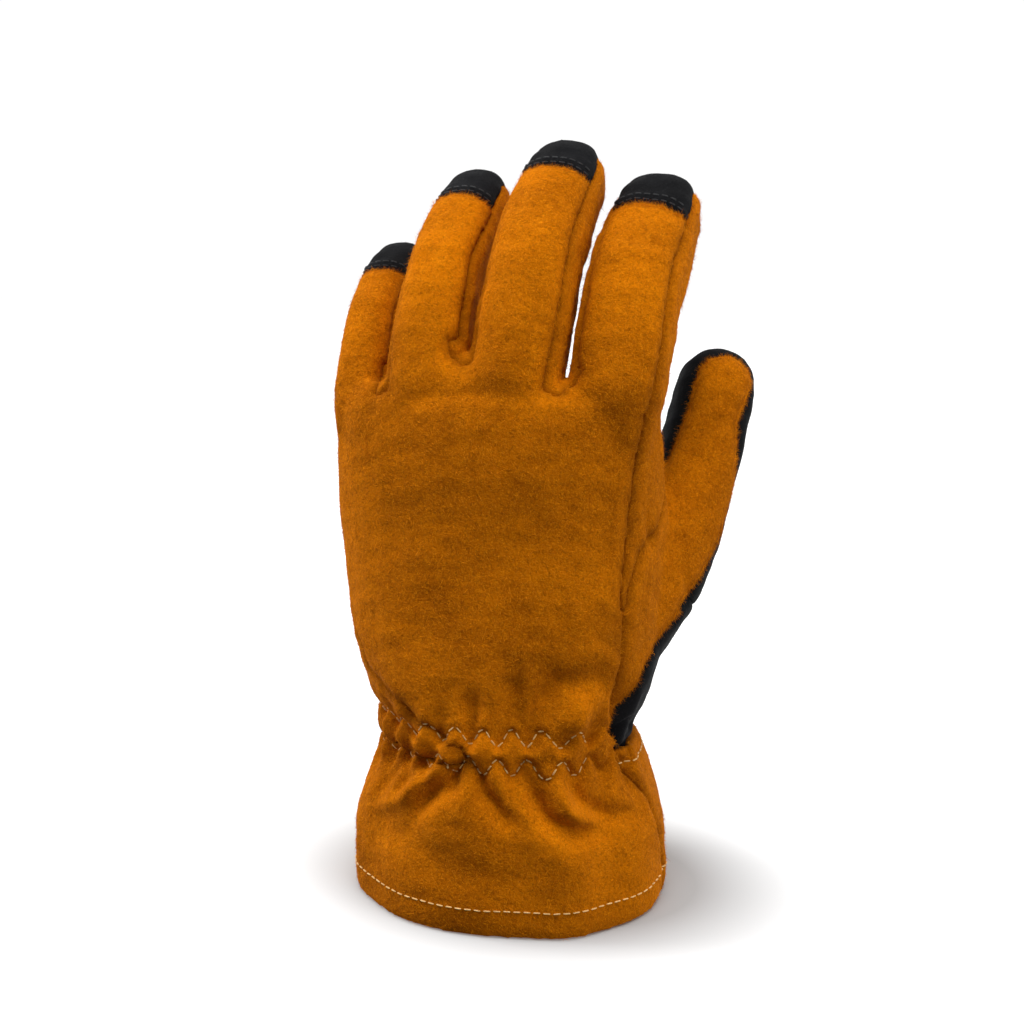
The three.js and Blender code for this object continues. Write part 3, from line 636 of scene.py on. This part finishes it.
# %% Laying copies of a shape along frames
def lay_copies(name, shape, middles, sides, fronts, alongs, material):
    """One piece of many copies, each with its x, y and z laid along its side, its front and its along."""
    shape_points, shape_faces = shape
    count, size = len(middles), len(shape_points)
    placed = (middles[:, None, :] + shape_points[None, :, 0:1] * sides[:, None, :]
              + shape_points[None, :, 1:2] * fronts[:, None, :]
              + shape_points[None, :, 2:3] * alongs[:, None, :])
    faces = [tuple(k + copy * size for k in face) for copy in range(count) for face in shape_faces]
    mesh = bpy.data.meshes.new(name)
    mesh.from_pydata(placed.reshape(-1, 3), [], faces)
    mesh.materials.append(material)
    piece = bpy.data.objects.new(name, mesh)
    bpy.context.scene.collection.objects.link(piece)
    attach(piece, "root")
    return piece


# %% [markdown]
# A row is drawn by rays: each starts outside the glove, and where it meets the leather a point of the row
# lies. The dashes are then laid along those points at even steps, so that they rise and fall with the puffs
# and folds.

# %% Rows of dashes on the leather
PITCH, DASH_LENGTH, DASH_WIDE, DASH_HIGH = 3.2 * MM, 2.2 * MM, 0.5 * MM, 0.36 * MM
PALM_DASH_WIDE = 0.55 * MM
DASH_LIFT = 0.06 * MM
DASH_WOBBLE = 0.04
EVENING = 3  # passes that even out the normals along a row
LONGEST = 1.5  # a dash that would be longer than this many lengths spans a gap, and is left out


def skin_tree(nodes):
    """All those panels as one tree for rays, with the outward directions left to the ray."""
    corners, faces, start = [], [], 0
    for node in nodes:
        mesh = pieces[node].data
        corners.append(points(pieces[node]))
        faces += [tuple(v + start for v in face.vertices) for face in mesh.polygons]
        start += len(mesh.vertices)
    return BVHTree.FromPolygons(np.concatenate(corners), faces)


skin = skin_tree(PANELS)


def cast(origins, ways, leather=None):
    """Where rays first meet the leather, with the normal there. A ray that misses is left out."""
    leather = leather or skin
    hits = []
    for origin, way in zip(origins, ways):
        place, normal, _, _ = leather.ray_cast(Vector(origin), Vector(way).normalized())
        if place is not None:
            normal = Vector(normal)
            hits.append((np.array(place), np.array(normal if normal.dot(Vector(way)) < 0 else -normal)))
    return hits


def along_row(lengths, run, values):
    """Values at given lengths along a row, where run is the length at each of the row's points."""
    return np.stack([np.interp(lengths, run, values[:, k]) for k in range(3)], axis=1)


def row(name, hits, material, wide=DASH_WIDE, pitch=PITCH, length=DASH_LENGTH):
    """Dashes at even steps along the line through hits, which lie close together."""
    places = np.array([place for place, _ in hits])
    normals = np.array([normal for _, normal in hits])
    for _ in range(EVENING):
        normals[1:-1] = (normals[:-2] + normals[1:-1] + normals[2:]) / 3
    steps = np.linalg.norm(np.diff(places, axis=0), axis=1)
    run = np.concatenate([[0], np.cumsum(steps)])
    middles = np.arange(pitch / 2, run[-1] - pitch / 2, pitch)
    at, up = along_row(middles, run, places), along_row(middles, run, normals)
    along = along_row(middles + length / 2, run, places) - along_row(middles - length / 2, run, places)
    whole_length = np.linalg.norm(along, axis=1, keepdims=True)
    keep = whole_length[:, 0] < LONGEST * length
    along /= whole_length
    up -= along * np.sum(up * along, axis=1, keepdims=True)
    up /= np.linalg.norm(up, axis=1, keepdims=True)
    side = np.cross(up, along)
    along = along + side * chance.normal(0, DASH_WOBBLE, (len(at), 1))
    at = at + up * DASH_LIFT
    return lay_copies(name, DASH, at[keep], (side * wide / 2)[keep], (up * DASH_HIGH)[keep],
                      (along * length / 2)[keep], material)


# %% [markdown]
# Four rows run round the wrist: the two wavy ones of the gathers, the hem's near the rim, and on the palm
# side the one that holds the cuff's top edge. Each is given by its height at every turn.

# %% The rows round the wrist
OUTSIDE = 120 * MM
HEM_ROW, CUFF_TOP_ROW = 9 * MM, 50.6 * MM


def round_wrist(turns, heights):
    angles = np.radians(turns)
    ways = np.stack([np.cos(angles), np.sin(angles), np.zeros(len(turns))], axis=1)
    axis = np.stack([np.full(len(turns), WRIST_AXIS[0]), np.full(len(turns), WRIST_AXIS[1]), heights], axis=1)
    return cast(axis + ways * OUTSIDE, -ways)


gather_turns = np.arange(184, 323, 0.35)
hem_turns = np.arange(0, 360.5, 0.5)
cuff_turns = np.arange(-19, 168, 0.5)
ROUND_ROWS = [
    ("gather_upper", gather_turns, row_height(gather_turns, "upper")),
    ("gather_lower", gather_turns, row_height(gather_turns, "lower")),
    ("hem", hem_turns, np.full(len(hem_turns), HEM_ROW)),
    ("cuff_top", cuff_turns, np.full(len(cuff_turns), CUFF_TOP_ROW)),
]
rows = [row("stitch_" + name, round_wrist(turns, heights), gold_thread)
        for name, turns, heights in ROUND_ROWS]
print("rows round the wrist:", len(rows))

# %% [markdown]
# The palm has a double row under the fingers, one arc below it, and two short arcs beside the foot of the
# thumb. Each is given as heights over places across the palm, and looked for from the palm's side on the
# black leather.

# %% The palm's rows
PALM_SIDE = 34 * MM
JUMP = 2.5 * MM
palm_skin = skin_tree(["palm_patch", "finger_fronts"])


def on_palm(across, heights):
    """The longest run of hits on the palm's black leather whose neighbours lie close together."""
    start = np.stack([across, np.full(len(across), PALM_SIDE), heights], axis=1)
    hits = cast(start, np.tile([0.0, -1.0, 0.0], (len(across), 1)), palm_skin)
    places = np.array([place for place, _ in hits])
    breaks = np.flatnonzero(np.linalg.norm(np.diff(places, axis=0), axis=1) > JUMP) + 1
    runs = np.split(np.arange(len(hits)), breaks)
    return [hits[i] for i in max(runs, key=len)]


def palm_row(name, across, heights):
    """A row from places across the palm and heights there, both in millimetres."""
    rows.append(row("stitch_" + name, on_palm(across * MM, heights * MM), thread, PALM_DASH_WIDE))


# In millimetres: where a row starts and ends across the palm, its height there and how much it drops.
DOUBLE_START, DOUBLE_END, DOUBLE_HEIGHTS, DOUBLE_DROP = -58, 39, (("upper", 162.4), ("lower", 159.2)), 3.0
ARC_START, ARC_END, ARC_HEIGHT, ARC_DROP = -56, 24, 146, 12
THUMB_MIDDLE, THUMB_REACHES = (30, 118), (("outer", 19.2), ("inner", 16.0))
across = np.arange(DOUBLE_START, DOUBLE_END, 0.5)
share = (across - DOUBLE_START) / (DOUBLE_END - DOUBLE_START)
for name, height in DOUBLE_HEIGHTS:
    palm_row("palm_" + name, across, height - DOUBLE_DROP * share)
across = np.arange(ARC_START, ARC_END, 0.5)
share = (across - ARC_START) / (ARC_END - ARC_START)
palm_row("palm_arc", across, ARC_HEIGHT - ARC_DROP * share ** 2)
turns = np.radians(np.arange(122, 232, 1.5))
for name, reach in THUMB_REACHES:
    across = THUMB_MIDDLE[0] + reach * np.cos(turns)
    palm_row("thumb_" + name, across, THUMB_MIDDLE[1] + reach * np.sin(turns))
print("rows with the palm's:", len(rows))

# %% [markdown]
# Each fingertip's black cap is sewn down by two rows close to its border on the back of the finger. They
# are looked for from a fan of rays round the finger's middle.

# %% The double rows on the caps' borders
# Each finger's middle at the border of its cap in millimetres, the degrees by which it rises there and turns
# to the thumb's side, and half its width in millimetres.
CAP_FRAMES = [
    ("index", (34.3, 12.9, 219.6), 36.1, 3.1, 15.5),
    ("middle", (2.6, 13.9, 231.5), 34.7, 3.1, 14.8),
    ("ring", (-29.0, 13.5, 222.9), 33.0, 2.0, 12.7),
    ("little", (-57.2, 13.3, 199.1), 32.0, -1.2, 10.7),
]
CAP_ROWS = (("first", 2.2), ("second", 4.6))
CAP_FAN, CAP_STEP = 54, 1.5  # degrees to either side, and between two rays
CAP_FAR, CAP_SLACK = 24 * MM, 4
CAP_DASH_WIDE, CAP_PITCH, CAP_DASH_LENGTH = 0.42 * MM, 2.9 * MM, 2.0 * MM
for finger, middle, rise, turn, half in CAP_FRAMES:
    middle, rise, turn = np.array(middle) * MM, math.radians(rise), math.radians(turn)
    along = np.array([math.cos(rise) * math.sin(turn), math.cos(rise) * math.cos(turn), math.sin(rise)])
    side = np.cross((0, 1, 0), along)
    side /= np.linalg.norm(side)
    back = np.cross(along, side)
    back *= math.copysign(1, back[2])
    for name, forward in CAP_ROWS:
        turns = np.radians(np.arange(-CAP_FAN, CAP_FAN + 0.5, CAP_STEP))
        ways = back * np.cos(turns)[:, None] + side * np.sin(turns)[:, None]
        start = middle + along * forward * MM
        hits = cast(start + ways * CAP_FAR, -ways)
        hits = [hit for hit in hits if np.linalg.norm(hit[0] - start) < (half + CAP_SLACK) * MM]
        rows.append(row(f"stitch_cap_{finger}_{name}", hits, grey_thread,
                        CAP_DASH_WIDE, CAP_PITCH, CAP_DASH_LENGTH))
print("rows of stitches:", len(rows), "with", sum(len(piece.data.polygons) for piece in rows), "faces")


# %% [markdown]
# The nap is what makes suede look soft, above all at its outline. Thousands of short fibres lie on the gold
# panels, combed roughly one way with much disorder. Each fibre is a three-sided spike of four faces, copied
# like the dashes. It carries its own shade, from deep to pale gold, so that neighbours differ as real
# fibres do.

# %% One fibre and its two materials
bpy.ops.object.select_all(action="DESELECT")
bpy.ops.mesh.primitive_cone_add(vertices=3, radius1=1, radius2=0, depth=1, location=(0, 0, 0.5))
bpy.ops.object.transform_apply(location=True, rotation=True, scale=True)
FIBRE = pattern_of(bpy.context.object)


def fibre_material(name, dark, light):
    material, tree, shader, _ = new_material(name)
    shade = add_node(tree, "ShaderNodeAttribute", attribute_name="shade").outputs["Fac"]
    tree.links.new(blend_colours(tree, shade, dark, light), shader.inputs["Base Color"])
    shader.inputs["Roughness"].default_value = 0.8
    shader.inputs["Specular IOR Level"].default_value = 0.04
    return material


gold_fibres = fibre_material("gold_fibres", (0.34, 0.088, 0.0006), (0.88, 0.29, 0.006))
black_fibres = fibre_material("black_fibres", (0.002, 0.002, 0.0025), (0.02, 0.021, 0.023))
print("one fibre:", len(FIBRE[0]), "points,", len(FIBRE[1]), "faces")


# %% [markdown]
# Fibres grow only on the outside, at random places, the more the larger a face is. They are combed along
# the leather by the slow drift of the nap, and each leans a little off it.

# %% Choosing where fibres grow and how they lie
OUTSIDE_SHARE, OUTSIDE_FACING = 0.2, 0.1
JITTER = 0.55  # of a face's size
DRIFT_WAVE, DRIFT_SEEDS, DOWNWARDS = 26 * MM, (21, 22, 23), np.array([0.0, 0.0, -0.5])
ROOT_DEPTH = 0.12 * MM


def outer_samples(node, per_mm2, edge=None):
    """Random places on the outside of a panel and the normals there, per_mm2 on each square millimetre."""
    mesh = pieces[node].data
    count = len(mesh.polygons)
    centres, normals, areas = (np.empty(count * n, np.float32) for n in (3, 3, 1))
    mesh.polygons.foreach_get("center", centres)
    mesh.polygons.foreach_get("normal", normals)
    mesh.polygons.foreach_get("area", areas)
    centres, normals = centres.reshape(-1, 3).astype(float), normals.reshape(-1, 3).astype(float)
    first = np.array([face.vertices[0] for face in mesh.polygons])
    facing = np.einsum("ij,ij->i", normals, outward[node][first])
    weight = areas.astype(float) * (outer_side[node][first] > OUTSIDE_SHARE) * (facing > OUTSIDE_FACING)
    if edge is not None:
        weight *= edge[first]
    total = int(weight.sum() / MM ** 2 * per_mm2)
    picked = chance.choice(count, total, p=weight / weight.sum())
    jitter = chance.uniform(-JITTER, JITTER, (total, 3)) * np.sqrt(areas[picked])[:, None]
    normal = normals[picked]
    jitter -= normal * np.sum(jitter * normal, axis=1, keepdims=True)
    return centres[picked] + jitter, normal


def comb(places, normals, disorder):
    """A direction along the leather at each place: a slow drift of the nap, plus disorder."""
    drift = np.stack([swell(places, DRIFT_WAVE, seed) for seed in DRIFT_SEEDS], axis=1)
    way = drift + DOWNWARDS + chance.normal(0, disorder, places.shape)
    way -= normals * np.sum(way * normals, axis=1, keepdims=True)
    return way / (np.linalg.norm(way, axis=1, keepdims=True) + 1e-9)


def grow(name, places, normals, ways, lengths, widths, leans, material, shades):
    """Fibres as one piece, each leaning off the leather along its way. None reaches below the rim."""
    along = ways * np.cos(leans)[:, None] + normals * np.sin(leans)[:, None]
    side = np.cross(along, normals)
    side /= np.linalg.norm(side, axis=1, keepdims=True) + 1e-9
    front = np.cross(side, along)
    roots = places - normals * ROOT_DEPTH
    spikes = along * lengths[:, None]
    keep = (roots + spikes)[:, 2] > 0
    sides, fronts, shades = side * (widths / 2)[:, None], front * (widths / 3)[:, None], shades[keep]
    piece = lay_copies(name, FIBRE, roots[keep], sides[keep], fronts[keep], spikes[keep], material)
    shade = piece.data.attributes.new("shade", "FLOAT", "POINT")
    shade.data.foreach_set("value", np.repeat(shades, len(FIBRE[0])).astype(np.float32))
    return piece


# %% [markdown]
# The gold nap is long and pale, with a few stray fibres longer still. The black leather has a shorter,
# thinner one.

# %% The nap on every panel
# Fibres on each square millimetre, and their least and greatest length and width in millimetres.
NAP = {"back_panel": 1.55, "cuff_palm": 1.3, "strip_thumb_side": 1.8, "strip_little_side": 1.5,
       "thumb_back": 1.8, "strip_index_middle": 1.2, "strip_middle_ring": 1.2, "strip_ring_little": 1.2,
       "finger_fronts": 0.7, "palm_patch": 0.7, "thumb_front": 0.7}
GOLD_LENGTHS, BLACK_LENGTHS, NAP_WIDTHS = (0.9, 2.6), (0.5, 1.2), (0.10, 0.17)
LONG_SHARE, LONG_TIMES = 0.06, 1.7  # this share of the gold fibres is so many times as long
# The mean and the spread of each fibre's lean in radians and of its shade from deep to pale.
NAP_LEAN, NAP_LEAST_LEAN, NAP_SHADE = (0.16, 0.18), 0.05, (0.45, 0.36)
NAP_DISORDER = 0.9
for node, per_mm2 in NAP.items():
    places, normals = outer_samples(node, per_mm2)
    count = len(places)
    gold = node in GOLD
    lengths = chance.uniform(*(GOLD_LENGTHS if gold else BLACK_LENGTHS), count) * MM
    if gold:
        lengths *= np.where(chance.uniform(0, 1, count) < LONG_SHARE, LONG_TIMES, 1.0)
    widths = chance.uniform(*NAP_WIDTHS, count) * MM
    leans = np.abs(chance.normal(*NAP_LEAN, count)) + NAP_LEAST_LEAN
    shades = np.clip(chance.normal(*NAP_SHADE, count), 0, 1)
    ways = comb(places, normals, NAP_DISORDER)
    grow("nap_" + node, places, normals, ways, lengths, widths, leans,
                     gold_fibres if gold else black_fibres, shades)

# %% [markdown]
# Where a gold panel ends on black leather its cut edge is raw, and longer fibres hang over the black. For
# each point of the gold edge the nearest black points give the way that its fibres hang.

# %% Raw edges
# For each gold panel: fibres on each square millimetre of its edge, and the longest of them in millimetres.
RAW = {"thumb_back": (20, 3.2), "back_panel": (22, 3.2), "strip_thumb_side": (16, 2.4), "cuff_palm": (8, 2.4),
       "strip_little_side": (6, 2.0), "strip_index_middle": (5, 1.8), "strip_middle_ring": (5, 1.8),
       "strip_ring_little": (5, 1.8)}
RAW_REACH = 2.0 * MM
RAW_SHORTEST, RAW_WIDTHS, RAW_DISORDER = 0.7, (0.10, 0.16), 0.95
RAW_LEAN, RAW_SHADE = (0.25, 0.28), (0.6, 0.3)
HANG_POINTS = 12
black_tree = tree_of(np.concatenate([points(pieces[node]) for node in BLACK]))
for node, (per_mm2, longest) in RAW.items():
    own = points(pieces[node])
    near = np.array([1.0 if black_tree.find(place)[2] < RAW_REACH else 0.0 for place in own])
    if not near.any():
        continue
    places, normals = outer_samples(node, per_mm2, near)
    nearest = [black_tree.find_n(place, HANG_POINTS) for place in places]
    ways = np.array([np.mean([found[0] for found in group], axis=0) for group in nearest]) - places
    ways -= normals * np.sum(ways * normals, axis=1, keepdims=True)
    ways /= np.linalg.norm(ways, axis=1, keepdims=True) + 1e-9
    ways += comb(places, normals, NAP_DISORDER) * RAW_DISORDER
    ways /= np.linalg.norm(ways, axis=1, keepdims=True)
    count = len(places)
    lengths = chance.uniform(RAW_SHORTEST, longest, count) * MM
    widths = chance.uniform(*RAW_WIDTHS, count) * MM
    leans = np.abs(chance.normal(*RAW_LEAN, count))
    shades = np.clip(chance.normal(*RAW_SHADE, count), 0, 1)
    grow("raw_edge_" + node, places, normals, ways, lengths, widths, leans, gold_fibres, shades)

# %% [markdown]
# The glove stands on a pale floor. The floor glows like a lit backdrop, except close to the cuff, so that
# no horizon shows and a soft shadow does. That shadow is partly cast by the glove and partly painted, as the
# glow fading in an oval round the cuff. Its glow doesn't reach the glove, or the front would be as bright as
# the sides.

# %% The floor
FLOOR_SIZE, FLOOR_DROP = 6, 0.4 * MM
FLOOR_GREY, FLOOR_ROUGHNESS = 0.4, 0.9
# The glow starts and is full at these distances from the middle, which count for more from back to front.
SHADOW_FROM, SHADOW_TO = 0.056, 0.12
SHADOW_OVAL = (1, 1.3, 1)
bpy.ops.object.select_all(action="DESELECT")
bpy.ops.mesh.primitive_plane_add(size=FLOOR_SIZE, location=(0, 0, -FLOOR_DROP))
floor = bpy.context.object
floor.name = "floor"
floor_paint, tree, shader, where = new_material("floor_paint")
shader.inputs["Base Color"].default_value = (FLOOR_GREY, FLOOR_GREY, FLOOR_GREY, 1)
shader.inputs["Roughness"].default_value = FLOOR_ROUGHNESS
# Painted shadow: the glow fades in an oval round the middle, close to the cuff.
oval = add_node(tree, "ShaderNodeVectorMath", {0: where, 1: SHADOW_OVAL}, operation="MULTIPLY")
reach = add_node(tree, "ShaderNodeVectorMath", {0: oval.outputs["Vector"]}, operation="LENGTH")
glow = spread(tree, reach.outputs["Value"], SHADOW_FROM, SHADOW_TO)
tree.links.new(glow, shader.inputs["Emission Strength"])
shader.inputs["Emission Color"].default_value = (1, 1, 1, 1)
floor.data.materials.append(floor_paint)
floor.visible_diffuse = False
print("floor laid")

# %% [markdown]
# The room looks white from every side. It lights the glove more from behind than from the front, so that
# the glove's sides are brighter than its front, as in a photograph taken in a light tent.

# %% The room
# The light from the front and from behind, and the directions between which one turns into the other.
FRONT_GLOW, BACK_GLOW = 0.10, 1.02
FRONT_END, BACK_START = -0.35, 0.45
world = bpy.data.worlds.new("studio")
bpy.context.scene.world = world
world.use_nodes = True
tree = world.node_tree
direction = add_node(tree, "ShaderNodeTexCoord").outputs["Generated"]
depth = add_node(tree, "ShaderNodeSeparateXYZ", {"Vector": direction}).outputs["Y"]
lit = spread(tree, depth, FRONT_END, BACK_START, FRONT_GLOW, BACK_GLOW)
seen = add_node(tree, "ShaderNodeLightPath").outputs["Is Camera Ray"]
glow = add_node(tree, "ShaderNodeMath", {0: seen, 1: lit}, operation="MAXIMUM").outputs["Value"]
tree.links.new(glow, tree.nodes["Background"].inputs["Strength"])
tree.nodes["Background"].inputs["Color"].default_value = (1, 1, 1, 1)
bpy.context.scene.view_settings.view_transform = "Standard"
print("room lit")

# %% [markdown]
# Four soft boxes light the glove: one above, one on either side, and a faint one in front.

# %% Lights
def look_from(obj, place, target):
    obj.location = place
    obj.rotation_euler = (Vector(target) - Vector(place)).to_track_quat("-Z", "Y").to_euler()


def soft_box(name, place, target, size, power):
    light = bpy.data.lights.new(name, "AREA")
    light.shape = "RECTANGLE"
    light.size, light.size_y = size
    light.energy = power
    lamp = bpy.data.objects.new(name, light)
    bpy.context.scene.collection.objects.link(lamp)
    look_from(lamp, place, target)


# Place, what it points at, width and height in metres, and power.
LIT_POINT, LIT_POINT_LOW = (0, 0, 0.13), (0, 0, 0.12)
soft_box("top_light", (0.1, -0.28, 1.1), LIT_POINT_LOW, (0.7, 0.6), 9.3)
soft_box("left_light", (-0.95, -0.1, 0.55), LIT_POINT, (0.4, 0.8), 9.5)
soft_box("right_light", (0.9, -0.45, 0.5), LIT_POINT, (0.4, 0.8), 4.2)
soft_box("front_light", (-0.2, -1.2, 0.8), LIT_POINT, (0.9, 0.6), 0.5)
print("lights:", len(bpy.data.lights))

# %% [markdown]
# The camera stands half a metre off, a little to the thumb's side and a little above, as the photograph was
# taken.

# %% Camera
AZIMUTH, ELEVATION, DISTANCE = math.radians(16), math.radians(11), 0.52
TARGET = Vector((-0.0071, -0.0061, 0.13))
# The lens has a focal length of FOCAL_PIXELS on a picture that is PICTURE_PIXELS wide.
SENSOR, FOCAL_PIXELS, PICTURE_PIXELS = 36, 1560, 1024
camera = bpy.data.objects.new("camera", bpy.data.cameras.new("camera"))
bpy.context.scene.collection.objects.link(camera)
level = math.cos(ELEVATION)
away = Vector((math.sin(AZIMUTH) * level, -math.cos(AZIMUTH) * level, math.sin(ELEVATION)))
look_from(camera, TARGET + away * DISTANCE, TARGET)
camera.data.lens = SENSOR * FOCAL_PIXELS / PICTURE_PIXELS
camera.data.sensor_width = SENSOR
bpy.context.scene.camera = camera
print("camera set")
